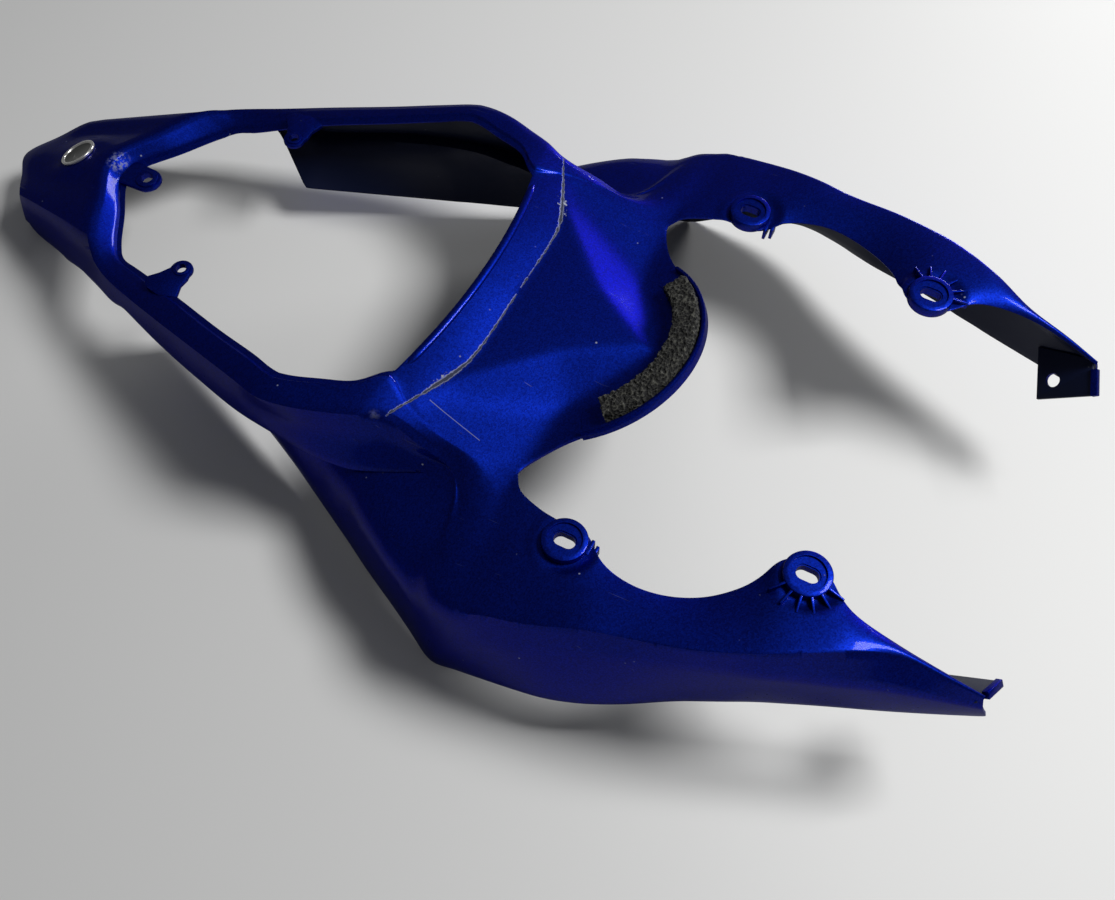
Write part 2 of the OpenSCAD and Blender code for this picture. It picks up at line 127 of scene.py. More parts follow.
FIN_SECTIONS = [
    [(8, 81, 110.5), (3, 112, 108.3), (3, 129, 70.5),
     (2, 117, 73), (2, 138, 63.5), (2, 147.5, 11), 1.5, 1.5],
    [on_saddle(25, 91), (14, 107, 107), (20, 124.5, 75),
     (18, 116, 76), (18, 148, 69), (20, 157, 9), 0.5, 1.5],
    [on_saddle(45, 96), (38, 108.5, 98.5), (41, 117, 80.5),
     (40, 117, 79.5), (38, 160.5, 73.5), (42, 167.5, 6.4), 0.3, 1],
    [on_saddle(66, 98), (59, 110, 89.6), (61, 111.5, 87.5),
     (62, 116, 84.8), (60, 171, 76), (62, 177.5, 4), 0.2, 0.3],
]
# inner edge, shoulder, crease under the shoulder, foot
WING_SECTIONS = [
    [on_saddle(92, 97), (80, 180, 76), (80, 184, 30), (79, 186, 0)],
    [(98, 106, 92.5), (97, 181.2, 82), (95, 185.5, 48), (97, 187.5, 11)],
    [(110, 111.5, 94), (113, 177, 87.5), (112, 184, 60), (114, 188, 20)],
    [(125, 115, 96), (130, 174.5, 92), (132, 181.5, 70), (134, 187.5, 28)],
    [(143, 115, 97.5), (148, 170.5, 97.5), (150, 176.5, 79), (154, 186.5, 36.5)],
    [(157, 127, 98), (165, 165.5, 102), (168, 171.5, 86), (172, 182, 41)],
    [(181, 132.7, 101), (186, 160.5, 104), (188, 166, 90), (193, 173.5, 45.5)],
    [(210, 124.5, 103.5), (217, 154, 110), (219, 157.5, 96), (218, 161, 52)],
    [(229, 109.5, 109), (238, 147, 114.5), (240, 151, 99.5), (240, 152, 57.5)],
    [(242, 90, 114), (252, 141.5, 117.5), (254, 147.5, 101.5), (254, 146, 60.5)],
    [(258, 87.5, 115.5), (265, 135, 119.5), (268, 142, 102), (268, 140.5, 62.5)],
    [(277, 103, 117.5), (284, 125, 120.5), (287, 135, 102), (288, 133, 65.5)],
    [(303, 108.3, 115.5), (304, 115, 117), (307, 126.5, 101), (313, 124, 69)],
    [(330, 108.5, 108.5), (330, 112.3, 108.5), (333, 118, 98), (338, 114.5, 73)],
    [(351, 107, 100.5), (351, 109.5, 100.5), (353, 111.5, 95), (360, 105.5, 76)],
]
WING_CROWN = 1.5
FIRST_WING_CROWN = 4.5
# columns of points on which the moulding's folds run, from the opening's edge to the foot
LEDGE_COL, STEP_COL, RIDGE_COL, HEM_COL = 1, 2, 5, 7
ROOT_COL, SHOULDER_COL, CREASE_COL, LAST_COL = 8, 9, 10, 12
# sections between which the cut lower edge of the wall runs straight
STRAIGHT_CUT = (7, 8)
# the wall under the ridge is hollowed along the side fins, and bulges behind them
SCOOP = -1.5
SCOOP_FROM = -60


def body_row(section):
    edge, ridge, hem, root, shoulder, foot = [Vector(p) for p in section[:6]]
    rise, bulge = section[6:]
    span = (edge - ridge).length
    inward = (edge - ridge).normalized()
    level = Vector((inward.x, inward.y, 0)).normalized()
    step = edge + Vector((0, 0, rise)) - level * min(LEDGE, 0.45 * span)
    hollow = SCOOP if edge.x > SCOOP_FROM else 1
    return [
        edge,
        edge + Vector((0, 0, 0.15 * rise)) - level * min(0.7 * LEDGE, 0.35 * span),
        step,
        step.lerp(ridge, 0.6),
        ridge + inward * min(RIDGE_ROUND, 0.3 * span) - Vector((0, 0, 0.15)),
        ridge + (hem - ridge).normalized() * RIDGE_ROUND * 0.5 - Vector((0, 0, 0.15)),
        ridge.lerp(hem, 0.5) + Vector((0, bulge, bulge / 2)) * hollow,
        hem,
        root,
        shoulder,
        shoulder.lerp(foot, 0.35) + Vector((0, bulge, 0)),
        shoulder.lerp(foot, 0.7) + Vector((0, bulge, 0)),
        foot,
    ]


def wing_row(section):
    edge, crest, crease, foot = [Vector(p) for p in section]
    crown = FIRST_WING_CROWN if section is WING_SECTIONS[0] else WING_CROWN
    top = []
    for col in range(SHOULDER_COL + 1):
        t = col / SHOULDER_COL
        top.append(edge.lerp(crest, t) + Vector((0, 0, crown * 4 * t * (1 - t))))
    return top + [crease, crease.lerp(foot, 0.5) + Vector((0, 1, 0)), foot]


section_rows = [body_row(section) for section in TAIL_SECTIONS + FIN_SECTIONS]
section_rows += [wing_row(section) for section in WING_SECTIONS]
LAST_ROW = (len(section_rows) - 1) * STEPS
SADDLE_FIRST = len(TAIL_SECTIONS) * STEPS
SADDLE_RIDGE = SADDLE_FIRST + STEPS
SADDLE_LAST = (len(TAIL_SECTIONS) + len(FIN_SECTIONS)) * STEPS


def section_point(k, col):
    if k < 0:
        p = section_rows[-k][col]
        return Vector((p.x, -p.y, p.z))
    if k >= len(section_rows):
        return 2 * section_rows[-1][col] - section_rows[-2][col]
    return section_rows[k][col]


def tangent(a, b, c):
    u, v = max(0.01, (b - a).length), max(0.01, (c - b).length)
    return ((b - a) / u * v + (c - b) / v * u) / (u + v)


def skin_point(row, col):
    k = min(row // STEPS, len(section_rows) - 2)
    t = row / STEPS - k
    a, b, c, d = [section_point(k + i, col) for i in (-1, 0, 1, 2)]
    reach = (c - b).length
    m, n = tangent(a, b, c) * reach, tangent(b, c, d) * reach
    if k in STRAIGHT_CUT and col > HEM_COL:
        return b.lerp(c, t) * MM
    p = (
        b * (2 * t**3 - 3 * t**2 + 1)
        + m * (t**3 - 2 * t**2 + t)
        + c * (3 * t**2 - 2 * t**3)
        + n * (t**3 - t**2)
    )
    return Vector((p.x, p.y, max(0.0, p.z))) * MM


def opening_front(v):
    return Vector((18.5 - 10.5 * v * v, 81 * v))


def ridge_front(v):
    return Vector((42 - 0.5 * soft_max(0.0, abs(91 * v) - 55, 6.0), 91 * v))


def lip_front(v):
    turn = 0.72

    def lip_plan(a):
        return Vector((
            LIP_CENTRE[0] + (LIP_R - 1.2) * math.cos(a) * math.cos(LIP_TILT),
            (LIP_R - 1.2) * math.sin(a),
        ))

    if v <= turn:
        return lip_plan(LIP_HALF * v / turn)
    w = (v - turn) / (1 - turn)
    bow, wing_start = Vector((99, 77)), Vector((92, 97))
    return lip_plan(LIP_HALF) * (1 - w) ** 2 + bow * 2 * w * (1 - w) + wing_start * w * w


SADDLE_COLS = 10


def saddle_skin(row, col):
    v = col / SADDLE_COLS
    r = row + SADDLE_FIRST
    rail = skin_point(r, 0) / MM
    if r <= SADDLE_RIDGE:
        t = row / STEPS
        curves = (opening_front, ridge_front)
    else:
        t = (r - SADDLE_RIDGE) / (SADDLE_LAST - SADDLE_RIDGE)
        curves = (ridge_front, lip_front)
    plan = curves[0](v).lerp(curves[1](v), t)
    end = curves[0](1).lerp(curves[1](1), t)
    x = plan.x + (rail.x - end.x) * v * v
    y = plan.y + (rail.y - end.y) * v * v
    if col == SADDLE_COLS:
        return rail * MM
    z = saddle_height(x, y)
    if r < SADDLE_RIDGE:
        z = (1 - t) * (115 - 4.5 * v * v) + t * z
    return Vector((x, y, z)) * MM


def shaped_grid(name, rows, cols, place):
    """A grid primitive whose points are drawn out to place(row, col)."""
    bpy.ops.object.select_all(action="DESELECT")
    bpy.ops.mesh.primitive_grid_add(x_subdivisions=rows, y_subdivisions=cols, size=1.0)
    piece = bpy.context.object
    piece.name = piece.data.name = name
    corners = [vertex.co for vertex in piece.data.vertices]
    cells = [(round((co.x + 0.5) * rows), round((co.y + 0.5) * cols)) for co in corners]
    for vertex, (row, col) in zip(piece.data.vertices, cells):
        vertex.co = place(row, col)
    return piece, cells


def apply_all(piece):
    bpy.ops.object.select_all(action="DESELECT")
    piece.select_set(True)
    bpy.context.view_layer.objects.active = piece
    for modifier in list(piece.modifiers):
        bpy.ops.object.modifier_apply(modifier=modifier.name)


def crease_edges(piece, cells, strength):
    marks = piece.data.attributes.new("crease_edge", "FLOAT", "EDGE")
    for edge in piece.data.edges:
        a, b = [cells[i] for i in edge.vertices]
        marks.data[edge.index].value = strength(a, b)


# how sharp the moulding's folds are: along the columns, and across them at the opening's corners
FIN_NOSE = SADDLE_LAST - STEPS
CORNER_ROWS = {2 * STEPS: 0.75, 11 * STEPS: 0.7, 14 * STEPS: 0.5}


def half_crease(a, b):
    row, along = min(a[0], b[0]), a[1] == b[1]
    if not along:
        if min(a[1], b[1]) <= RIDGE_COL:
            return CORNER_ROWS.get(a[0], 0.0)
        return 0.8 if a[0] in (2 * STEPS, 8 * STEPS) else 0.0
    col = a[1]
    if row >= SADDLE_LAST:
        onset = min(1.0, (row - SADDLE_LAST) / (3 * STEPS))
        return {SHOULDER_COL: 0.9, CREASE_COL: 0.8}.get(col, 0.0) * onset
    sharp = {LEDGE_COL: 0.8, STEP_COL: 0.8, RIDGE_COL - 1: 0.3, RIDGE_COL: 0.9}
    sharp.update({HEM_COL: 0.95, ROOT_COL: 0.6})
    if row >= 10 * STEPS:
        sharp.update({HEM_COL - 1: 0.85, SHOULDER_COL: 0.2})
    # the fin's folds run out at its nose
    return sharp.get(col, 0.0) * min(1.0, max(0.0, (FIN_NOSE - row) / STEPS))


def saddle_crease(a, b):
    return 0.5 if a[0] == b[0] == STEPS else 0.0


left_half, half_cells = shaped_grid("left_half", LAST_ROW, LAST_COL, skin_point)
crease_edges(left_half, half_cells, half_crease)
saddle, saddle_cells = shaped_grid("saddle", SADDLE_LAST - SADDLE_FIRST, SADDLE_COLS, saddle_skin)
crease_edges(saddle, saddle_cells, saddle_crease)
for piece, cells, first in ((left_half, half_cells, SADDLE_RIDGE), (saddle, saddle_cells, STEPS)):
    group = piece.vertex_groups.new(name="saddle")
    for index, (row, col) in enumerate(cells):
        if row >= first and (piece is saddle or (col == 0 and row <= SADDLE_LAST)):
            group.add([index], 1.0, "REPLACE")

bpy.ops.object.select_all(action="DESELECT")
saddle.select_set(True)
left_half.select_set(True)
bpy.context.view_layer.objects.active = left_half
bpy.ops.object.join()
shell = left_half
shell.name = shell.data.name = "tail_shell_visual"
bpy.ops.object.mode_set(mode="EDIT")
bpy.ops.mesh.select_all(action="SELECT")
bpy.ops.mesh.remove_doubles(threshold=0.00005)
bpy.ops.object.mode_set(mode="OBJECT")
mirror = shell.modifiers.new("other_side", "MIRROR")
mirror.use_axis = (False, True, False)
mirror.merge_threshold = 0.00005
smooth = shell.modifiers.new("smooth", "SUBSURF")
smooth.levels = smooth.render_levels = 2
apply_all(shell)

BOSSES = {"rear": (135, 125, 100.5), "front": (253, 96, 121)}
BADGE_AT = Vector((-299, 0, 58.85)) * MM
BADGE_TILT = math.radians(23.5)
# each boss stands in a shallow round dish, and the badge lies on a small flat
DISH_DEPTH, DISH_FLAT, DISH_FADE = 4.5, 14.0, 7.0
BADGE_FLAT, BADGE_FADE = 14.0, 11.0


def settle(t):
    t = min(1.0, max(0.0, t))
    return t * t * (3 - 2 * t)


saddle_index = shell.vertex_groups["saddle"].index
badge_up = Vector((-math.sin(BADGE_TILT), 0, math.cos(BADGE_TILT)))
for vertex in shell.data.vertices:
    x, y, z = vertex.co / MM
    if any(g.group == saddle_index and g.weight > 0.995 for g in vertex.groups):
        z = saddle_height(x, y)
    for centre_x, centre_y, top in BOSSES.values():
        away = math.hypot(x - centre_x, abs(y) - centre_y)
        level = top - DISH_DEPTH
        z += (level - z) * (1 - settle((away - DISH_FLAT) / DISH_FADE)) * (1 if z > 80 else 0)
    vertex.co = Vector((x, y, z)) * MM
    offset = vertex.co - BADGE_AT
    lift = offset.dot(badge_up)
    away = (offset - badge_up * lift).length / MM
    if abs(lift) < 0.012 and away < BADGE_FLAT + BADGE_FADE + 1:
        vertex.co -= badge_up * (lift + 0.0001) * (1 - settle((away - BADGE_FLAT) / BADGE_FADE))

edge_uses = Counter(key for face in shell.data.polygons for key in face.edge_keys)
rim = {i for key, uses in edge_uses.items() if uses == 1 for i in key}
rim_places = [shell.data.vertices[i].co.copy() for i in rim]
# the opening's front edge, from one corner to the other
opening_edge = [co for co in rim_places if 0.004 < co.x < 0.022 and abs(co.y) < 0.0795 and co.z > 0.1]
opening_edge.sort(key=lambda co: co.y)

wall = shell.modifiers.new("wall", "SOLIDIFY")
wall.thickness = WALL * MM
wall.offset = -1.0
wall.use_even_offset = True
wall.thickness_clamp = 1.0
wall.use_rim = True
wall.material_offset = 1


# Lacquered blue plastic of the shell: metallic royal blue under a clear coat, with the real
# part's scuffed groove along the saddle's ridge, a rubbed corner at the back of the opening,
# fine scratches and specks. The inside of the moulding is bare dark plastic.
def math_node(nodes, links, operation, first, second=None, clamp=False):
    """One step of arithmetic on numbers or sockets."""
    node = nodes.new("ShaderNodeMath")
    node.operation = operation
    node.use_clamp = clamp
    for socket, value in zip(node.inputs, (first, second)):
        if value is None:
            continue
        if isinstance(value, (int, float)):
            socket.default_value = value
        else:
            links.new(value, socket)
    return node.outputs["Value"]


def ramp(nodes, links, value, start, end):
    """A mask that climbs from 0 at start to 1 at end."""
    node = nodes.new("ShaderNodeMapRange")
    node.inputs["From Min"].default_value = start
    node.inputs["From Max"].default_value = end
    links.new(value, node.inputs["Value"])
    return node.outputs["Result"]


def colour_mix(nodes, links, factor, first, second):
    """A blend of two colours, each a socket or three numbers."""
    node = nodes.new("ShaderNodeMix")
    node.data_type = "RGBA"
    links.new(factor, node.inputs["Factor"])
    for name, colour in (("A", first), ("B", second)):
        if isinstance(colour, tuple):
            node.inputs[name].default_value = (*colour, 1.0)
        else:
            links.new(colour, node.inputs[name])
    return node.outputs["Result"]


def marks_group():
    """Masks for fine scratches and for specks, over Object coordinates in metres."""
    group = bpy.data.node_groups.new("fine marks", "ShaderNodeTree")
    for name, way, kind in (
        ("Position", "INPUT", "NodeSocketVector"),
        ("Scratch Amount", "INPUT", "NodeSocketFloat"),
        ("Speck Amount", "INPUT", "NodeSocketFloat"),
        ("Scratches", "OUTPUT", "NodeSocketFloat"),
        ("Specks", "OUTPUT", "NodeSocketFloat"),
    ):
        group.interface.new_socket(name, in_out=way, socket_type=kind)
    nodes, links = group.nodes, group.links
    entry, leave = nodes.new("NodeGroupInput"), nodes.new("NodeGroupOutput")
    turn = nodes.new("ShaderNodeMapping")
    turn.inputs["Rotation"].default_value = (0.3, 0.2, 0.9)
    turn.inputs["Scale"].default_value = (9.0, 1300.0, 260.0)
    links.new(entry.outputs["Position"], turn.inputs["Vector"])
    streak = nodes.new("ShaderNodeTexNoise")
    streak.inputs["Scale"].default_value = 1.0
    streak.inputs["Detail"].default_value = 2.0
    links.new(turn.outputs["Vector"], streak.inputs["Vector"])
    cut = ramp(nodes, links, streak.outputs["Fac"], 0.74, 0.82)
    scratches = math_node(nodes, links, "MULTIPLY", cut, entry.outputs["Scratch Amount"])
    links.new(scratches, leave.inputs["Scratches"])
    dots = nodes.new("ShaderNodeTexVoronoi")
    dots.inputs["Scale"].default_value = 130.0
    links.new(entry.outputs["Position"], dots.inputs["Vector"])
    dot = ramp(nodes, links, dots.outputs["Distance"], 0.10, 0.05)
    patch = nodes.new("ShaderNodeTexNoise")
    patch.inputs["Scale"].default_value = 60.0
    links.new(entry.outputs["Position"], patch.inputs["Vector"])
    sparse = ramp(nodes, links, patch.outputs["Fac"], 0.60, 0.66)
    specks = math_node(nodes, links, "MULTIPLY", dot, sparse)
    specks = math_node(nodes, links, "MULTIPLY", specks, entry.outputs["Speck Amount"])
    links.new(specks, leave.inputs["Specks"])
    return group


fine_marks = marks_group()
paint = bpy.data.materials.new("blue metallic lacquer")
paint.use_nodes = True
nodes, links = paint.node_tree.nodes, paint.node_tree.links
gloss = nodes["Principled BSDF"]
gloss.inputs["Coat Roughness"].default_value = 0.07
gloss.inputs["Coat IOR"].default_value = 1.5
gloss.inputs["Specular Tint"].default_value = (0.02, 0.05, 0.2, 1.0)
place = nodes.new("ShaderNodeTexCoord")
split = nodes.new("ShaderNodeSeparateXYZ")
links.new(place.outputs["Object"], split.inputs["Vector"])
marks = nodes.new("ShaderNodeGroup")
marks.node_tree = fine_marks
marks.inputs["Scratch Amount"].default_value = 0.22
marks.inputs["Speck Amount"].default_value = 0.8
links.new(place.outputs["Object"], marks.inputs["Position"])
ragged = nodes.new("ShaderNodeTexNoise")
ragged.inputs["Scale"].default_value = 420.0
ragged.inputs["Detail"].default_value = 4.0
links.new(place.outputs["Object"], ragged.inputs["Vector"])
broken = nodes.new("ShaderNodeTexNoise")
broken.inputs["Scale"].default_value = 70.0
links.new(place.outputs["Object"], broken.inputs["Vector"])


def paint_math(operation, first, second=None, clamp=False):
    return math_node(nodes, links, operation, first, second, clamp)


# scuffed groove along the saddle's ridge, in metres: the ridge's plan line, where it bends back,
# the middle and half length of the wide stretch, and both ends
GROOVE_X, BEND_Y, WIDE_Y, WIDE_REACH = 0.0418, 0.056, 0.070, 0.034
GROOVE_START, GROOVE_END, GROOVE_LOW = 0.0025, 0.106, 0.098
side_way = paint_math("ABSOLUTE", split.outputs["Y"])
past_bend = paint_math("SUBTRACT", side_way, BEND_Y)
bend = paint_math("SQRT", paint_math("ADD", paint_math("MULTIPLY", past_bend, past_bend), 0.00012))
bend = paint_math("MULTIPLY", paint_math("ADD", past_bend, bend), 0.25)
off_ridge = paint_math("ADD", paint_math("SUBTRACT", split.outputs["X"], GROOVE_X), bend)
off_ridge = paint_math("ABSOLUTE", off_ridge)
wander = paint_math("MULTIPLY", paint_math("SUBTRACT", ragged.outputs["Fac"], 0.5), 0.0022)
groove_edge = paint_math("ADD", off_ridge, wander)
from_bend = paint_math("ABSOLUTE", paint_math("SUBTRACT", side_way, WIDE_Y))
widening = paint_math("MULTIPLY", paint_math("SUBTRACT", WIDE_REACH, from_bend, True), 0.030)
half_width = paint_math("ADD", widening, paint_math("MULTIPLY", broken.outputs["Fac"], 0.0012))
groove = paint_math("MULTIPLY", paint_math("SUBTRACT", half_width, groove_edge), 2200.0, True)
groove = paint_math("MULTIPLY", groove, paint_math("LESS_THAN", side_way, GROOVE_END))
groove = paint_math("MULTIPLY", groove, paint_math("GREATER_THAN", side_way, GROOVE_START))
groove = paint_math("MULTIPLY", groove, paint_math("GREATER_THAN", split.outputs["Z"], GROOVE_LOW))
# the groove's core mixed towards a near-black colour, and short ticks beside its bend
core = paint_math("SUBTRACT", paint_math("MULTIPLY", half_width, 0.62), groove_edge)
core = paint_math("MULTIPLY", paint_math("MULTIPLY", core, 2600.0, True), groove)
ticks = paint_math("MULTIPLY", paint_math("SUBTRACT", ragged.outputs["Fac"], 0.56), 9.0, True)
ticks = paint_math("MULTIPLY", ticks, paint_math("LESS_THAN", off_ridge, 0.0032))
ticks = paint_math("MULTIPLY", ticks, paint_math("LESS_THAN", from_bend, 0.006))


def rubbed_spot(centre, radius, cover):
    """Mask of a patch rubbed through in specks round a point."""
    away = nodes.new("ShaderNodeVectorMath")
    away.operation = "DISTANCE"
    away.inputs[1].default_value = centre
    links.new(place.outputs["Object"], away.inputs[0])
    fade = paint_math("MULTIPLY", paint_math("SUBTRACT", radius, away.outputs["Value"]), 260.0, True)
    specks = paint_math("MULTIPLY", paint_math("SUBTRACT", ragged.outputs["Fac"], cover), 7.0, True)
    return paint_math("MULTIPLY", fade, specks)


# rubbed corner at the back of the seat opening, the top of a side fin and a chip by a wing tip
RUBBED_SPOTS = (
    ((-0.2615, 0.001, 0.0695), 0.0090, 0.48),
    ((0.0114, -0.109, 0.107), 0.0040, 0.40),
    ((0.3297, -0.108, 0.105), 0.0045, 0.38),
)
rubbed = 0.0
for centre, radius, cover in RUBBED_SPOTS:
    rubbed = paint_math("MAXIMUM", rubbed, rubbed_spot(centre, radius, cover))
# one long fine scratch over the near side of the saddle: where it starts, its slope and its length
SCRATCH_X, SCRATCH_Y, SCRATCH_SLOPE, SCRATCH_L = 0.0321, 0.0854, 0.178, 0.034
along_scratch = paint_math("SUBTRACT", split.outputs["X"], SCRATCH_X)
beside_scratch = paint_math("ADD", split.outputs["Y"], SCRATCH_Y)
across = paint_math("ADD", paint_math("MULTIPLY", along_scratch, SCRATCH_SLOPE), beside_scratch)
across = paint_math("ABSOLUTE", across)
scratch = paint_math("MULTIPLY", paint_math("SUBTRACT", 0.00028, across), 5000.0, True)
scratch = paint_math("MULTIPLY", scratch, paint_math("GREATER_THAN", along_scratch, 0.0))
scratch = paint_math("MULTIPLY", scratch, paint_math("LESS_THAN", along_scratch, SCRATCH_L))
worn = paint_math("MAXIMUM", paint_math("MULTIPLY", groove, 0.6), ticks)
worn = paint_math("MAXIMUM", worn, paint_math("MULTIPLY", rubbed, 0.4))
worn = paint_math("MAXIMUM", worn, paint_math("MULTIPLY", scratch, 0.5))
worn = paint_math("MAXIMUM", worn, marks.outputs["Specks"])
worn = paint_math("MAXIMUM", worn, marks.outputs["Scratches"], True)
intact = paint_math("SUBTRACT", 1.0, worn, True)

flake = nodes.new("ShaderNodeTexVoronoi")
flake.inputs["Scale"].default_value = 1500.0
links.new(place.outputs["Object"], flake.inputs["Vector"])
blue = colour_mix(nodes, links, flake.outputs["Color"], (0.001, 0.005, 0.11), (0.002, 0.016, 0.29))
bare = colour_mix(nodes, links, worn, blue, (0.30, 0.32, 0.38))
# the base colour is made darker towards the groove's core
darker_core_colour = colour_mix(nodes, links, paint_math("MULTIPLY", core, 0.9), bare, (0.022, 0.024, 0.035))
links.new(darker_core_colour, gloss.inputs["Base Color"])
links.new(paint_math("MULTIPLY", intact, 0.93), gloss.inputs["Metallic"])
links.new(paint_math("MULTIPLY", intact, 0.12), gloss.inputs["Coat Weight"])
links.new(paint_math("ADD", 0.45, paint_math("MULTIPLY", worn, 0.25)), gloss.inputs["Roughness"])
dent = nodes.new("ShaderNodeBump")
dent.inputs["Strength"].default_value = 0.35
dent.inputs["Distance"].default_value = 0.0006
dent.invert = True
depth = paint_math("ADD", groove, paint_math("MULTIPLY", ragged.outputs["Fac"], 0.02))
links.new(depth, dent.inputs["Height"])
links.new(dent.outputs["Normal"], gloss.inputs["Normal"])

inside_plastic = bpy.data.materials.new("bare inside plastic")
inside_plastic.use_nodes = True
nodes, links = inside_plastic.node_tree.nodes, inside_plastic.node_tree.links
matte = nodes["Principled BSDF"]
matte.inputs["Roughness"].default_value = 0.5
matte.inputs["Specular IOR Level"].default_value = 0.2
place = nodes.new("ShaderNodeTexCoord")
marks = nodes.new("ShaderNodeGroup")
marks.node_tree = fine_marks
marks.inputs["Scratch Amount"].default_value = 0.1
marks.inputs["Speck Amount"].default_value = 0.3
links.new(place.outputs["Object"], marks.inputs["Position"])
dusty = math_node(nodes, links, "MAXIMUM", marks.outputs["Scratches"], marks.outputs["Specks"])
dust = colour_mix(nodes, links, dusty, (0.002, 0.005, 0.026), (0.12, 0.12, 0.14))
links.new(dust, matte.inputs["Base Color"])

shell.data.materials.append(paint)
shell.data.materials.append(inside_plastic)
apply_all(shell)
soften = shell.modifiers.new("soft_edges", "BEVEL")
soften.width = 0.0007
soften.segments = 2
soften.limit_method = "ANGLE"
soften.angle_limit = math.radians(50)
apply_all(shell)


# Bosses, ribs, tabs, lip and flanges: they are moulded with the skin, so they are fused to it.
# Each boss is a ring round a slot, and the front ones stand on a fan of thin ribs.
def prism(name, outline, low, high, edge, place=None, material=paint):
    """A plate or post: an outline in millimetres drawn up from low to high, with soft edges."""
    bpy.ops.object.select_all(action="DESELECT")
    bpy.ops.mesh.primitive_circle_add(vertices=len(outline), radius=1.0, fill_type="NGON")
    piece = bpy.context.object
    piece.name = piece.data.name = name
    for vertex, (x, y) in zip(piece.data.vertices, outline):
        vertex.co = Vector((x, y, low)) * MM
    bpy.ops.object.mode_set(mode="EDIT")
    bpy.ops.mesh.select_all(action="SELECT")
    bpy.ops.mesh.extrude_region_move(TRANSFORM_OT_translate={"value": (0, 0, (high - low) * MM)})
    bpy.ops.mesh.select_all(action="SELECT")
    bpy.ops.mesh.normals_make_consistent(inside=False)
    bpy.ops.object.mode_set(mode="OBJECT")
    if edge:
        rounded = piece.modifiers.new("soft_edges", "BEVEL")
        rounded.width = edge * MM
        rounded.segments = 2
        rounded.limit_method = "ANGLE"
        rounded.angle_limit = math.radians(40)
        apply_all(piece)
    if place:
        piece.data.transform(place)
    piece.data.materials.append(material)
    return piece


def arc_points(centre, radius, start, end, count):
    angles = [start + (end - start) * i / (count - 1) for i in range(count)]
    return [(centre[0] + radius * math.cos(a), centre[1] + radius * math.sin(a)) for a in angles]


def round_outline(centre, radius, count=48):
    return arc_points(centre, radius, 0, 2 * math.pi * (1 - 1 / count), count)


def slot_outline(centre, length, width, count=16):
    reach = (length - width) / 2
    quarter = math.pi / 2
    front_end = arc_points((centre[0] + reach, centre[1]), width / 2, -quarter, quarter, count)
    return front_end + arc_points((centre[0] - reach, centre[1]), width / 2, quarter, 3 * quarter, count)


def other_side(piece):
    """A copy on the other side of the middle plane, with its faces turned back outward."""
    twin = piece.copy()
    twin.data = piece.data.copy()
    twin.name = twin.data.name = piece.name + "_right"
    bpy.context.collection.objects.link(twin)
    twin.data.transform(Matrix.Scale(-1, 4, (0, 1, 0)))
    twin.data.flip_normals()
    return twin


def fuse(target, tools, operation):
    bpy.ops.object.select_all(action="DESELECT")
    for tool in tools:
        tool.select_set(True)
    bpy.context.view_layer.objects.active = tools[0]
    bpy.ops.object.join()
    step = target.modifiers.new(operation.lower(), "BOOLEAN")
    step.operation = operation
    step.object = tools[0]
    step.solver = "MANIFOLD"
    apply_all(target)
    bpy.data.objects.remove(tools[0])


BOSS_R, BOSS_H = 12.5, 7.0
SLOT_L, SLOT_W, SLOT_MOUTH = 12.0, 7.5, 1.4
BOSS_RIBS, RIB_REACH, RIB_SLOPE = 6, 10.0, 1.4
bodies, details, dishes, mouths, cut_out = [], [], [], [], []
for side, (centre_x, centre_y, top) in BOSSES.items():
    centre = (centre_x, centre_y)
    post = prism(side + "_boss", round_outline(centre, BOSS_R, 64), top - BOSS_H, top, 1.1)
    bodies += [post, other_side(post)]
    dish = prism(side + "_dish", round_outline(centre, BOSS_R - 3.0, 64), top - 1.2, top + 1, 0)
    slot = prism(side + "_slot", slot_outline(centre, SLOT_L, SLOT_W), top - 14, top + 2, 0)
    mouth_outline = slot_outline(centre, SLOT_L + SLOT_MOUTH, SLOT_W + SLOT_MOUTH)
    mouth = prism(side + "_slot_mouth", mouth_outline, top - 1.9, top + 1, 0)
    dishes += [dish, other_side(dish)]
    mouths += [mouth, other_side(mouth)]
    cut_out += [slot, other_side(slot)]
centre_x, centre_y, top = BOSSES["front"]
rib_start = BOSS_R - 1.5
rib_end = rib_start + RIB_REACH
for i in range(BOSS_RIBS):
    angle = math.radians(12 + 24 * i)
    turn = Matrix.Translation(Vector((centre_x, centre_y, 0)) * MM) @ Matrix.Rotation(angle, 4, "Z")
    rib_outline = [(rib_start, -0.75), (rib_end, -0.5), (rib_end, 0.5), (rib_start, 0.75)]
    rib = prism("boss_rib", rib_outline, top - BOSS_H, top - 0.6, 0.25)
    for vertex in rib.data.vertices:
        if vertex.co.z > (top - 4) * MM:
            vertex.co.z -= RIB_SLOPE * MM * (vertex.co.x / MM - rib_start) / RIB_REACH
    rib.data.transform(turn)
    details += [rib, other_side(rib)]
centre_x, centre_y, top = BOSSES["rear"]
for i, shift in enumerate((13.0, 16.5)):
    back = 2 * i - 8
    corners = [(shift - 0.9, back), (shift + 0.9, back), (shift + 0.9, 1), (shift - 0.9, 1)]
    tooth_outline = [(centre_x + x, centre_y + y) for x, y in corners]
    tooth = prism("boss_tooth", tooth_outline, top - 12, top - 4, 0.25)
    details += [tooth, other_side(tooth)]

